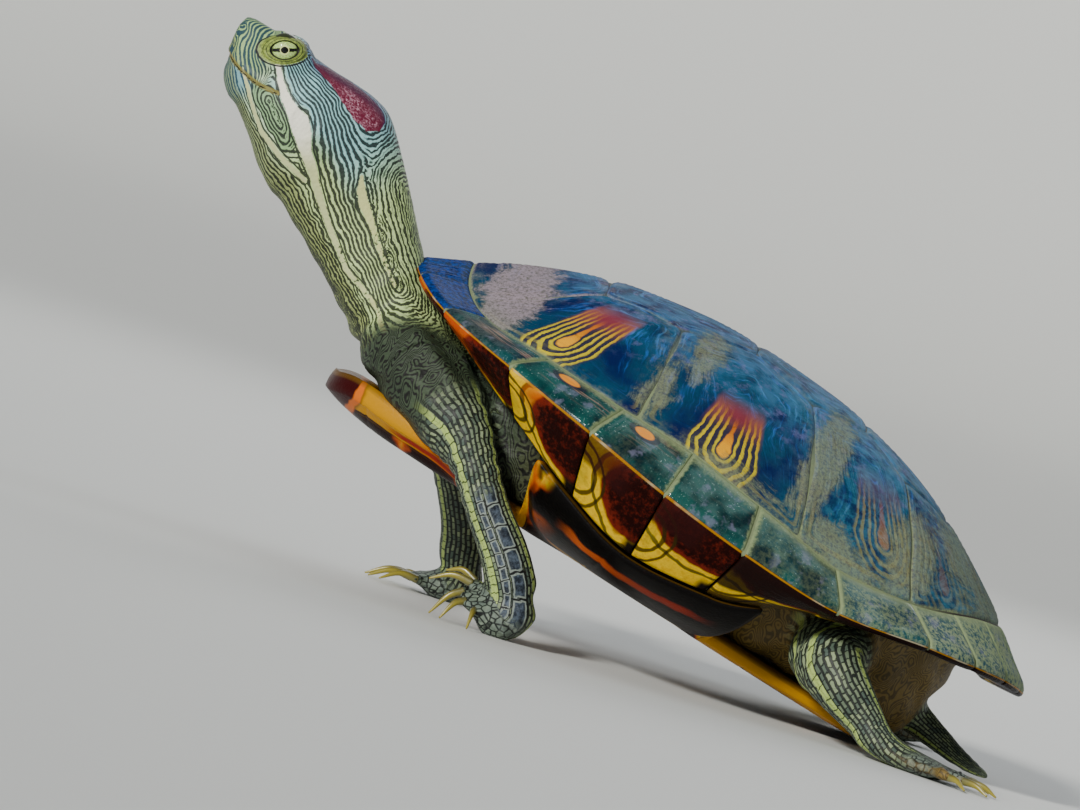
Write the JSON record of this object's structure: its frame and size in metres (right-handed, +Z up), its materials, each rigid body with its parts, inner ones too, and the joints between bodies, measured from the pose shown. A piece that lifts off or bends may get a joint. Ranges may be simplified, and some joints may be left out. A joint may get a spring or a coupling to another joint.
{
  "type": "red-eared slider turtle, life-size still model",
  "caption": "Life-size still model of a basking red-eared slider: patterned shell, striped skin, neck stretched up, forelegs propping the shell off the floor.",
  "frame": {"origin": "on the floor, under the middle of the model's bounding box", "axes": "+Z up, the head points toward -X, the animal's left side is toward -Y"},
  "size_m": [0.2564, 0.1848, 0.1372],
  "materials": {
    "carapace_scutes": "wet, glossy horn scutes, blue-green to black with orange and yellow stripes, pale seams and dried mud",
    "plastron_scutes": "smooth glossy horn, yellow with dark maroon blotches and orange streaks",
    "skin": "finely scaled skin, pale yellow-green with thin black stripes, a red patch behind each eye",
    "eye": "wet and glossy, yellow-green iris with a dark bar through a round pupil",
    "claw": "semi-gloss horn, pale yellow with a darker upper edge"
  },
  "bodies": {
    "root": {"carapace": "carapace_scutes", "plastron": "plastron_scutes", "trunk": "skin", "head": "skin", "lower_jaw": "skin", "neck_upper": "skin", "neck_base": "skin", "eye_left": "eye", "eye_right": "eye", "foreleg_left_upper_arm": "skin", "foreleg_left_forearm": "skin", "foreleg_left_foot": "skin", "foreleg_left_claw_1": "claw", "foreleg_left_claw_2": "claw", "foreleg_left_claw_3": "claw", "foreleg_left_claw_4": "claw", "foreleg_left_claw_5": "claw", "foreleg_right_upper_arm": "skin", "foreleg_right_forearm": "skin", "foreleg_right_foot": "skin", "foreleg_right_claw_1": "claw", "foreleg_right_claw_2": "claw", "foreleg_right_claw_3": "claw", "foreleg_right_claw_4": "claw", "foreleg_right_claw_5": "claw", "hindleg_left_thigh": "skin", "hindleg_left_shank": "skin", "hindleg_left_foot": "skin", "hindleg_left_claw_1": "claw", "hindleg_left_claw_2": "claw", "hindleg_left_claw_3": "claw", "hindleg_left_claw_4": "claw", "hindleg_right_thigh": "skin", "hindleg_right_shank": "skin", "hindleg_right_foot": "skin", "hindleg_right_claw_1": "claw", "hindleg_right_claw_2": "claw", "hindleg_right_claw_3": "claw", "hindleg_right_claw_4": "claw", "tail": "skin"}
  },
  "joints": []
}
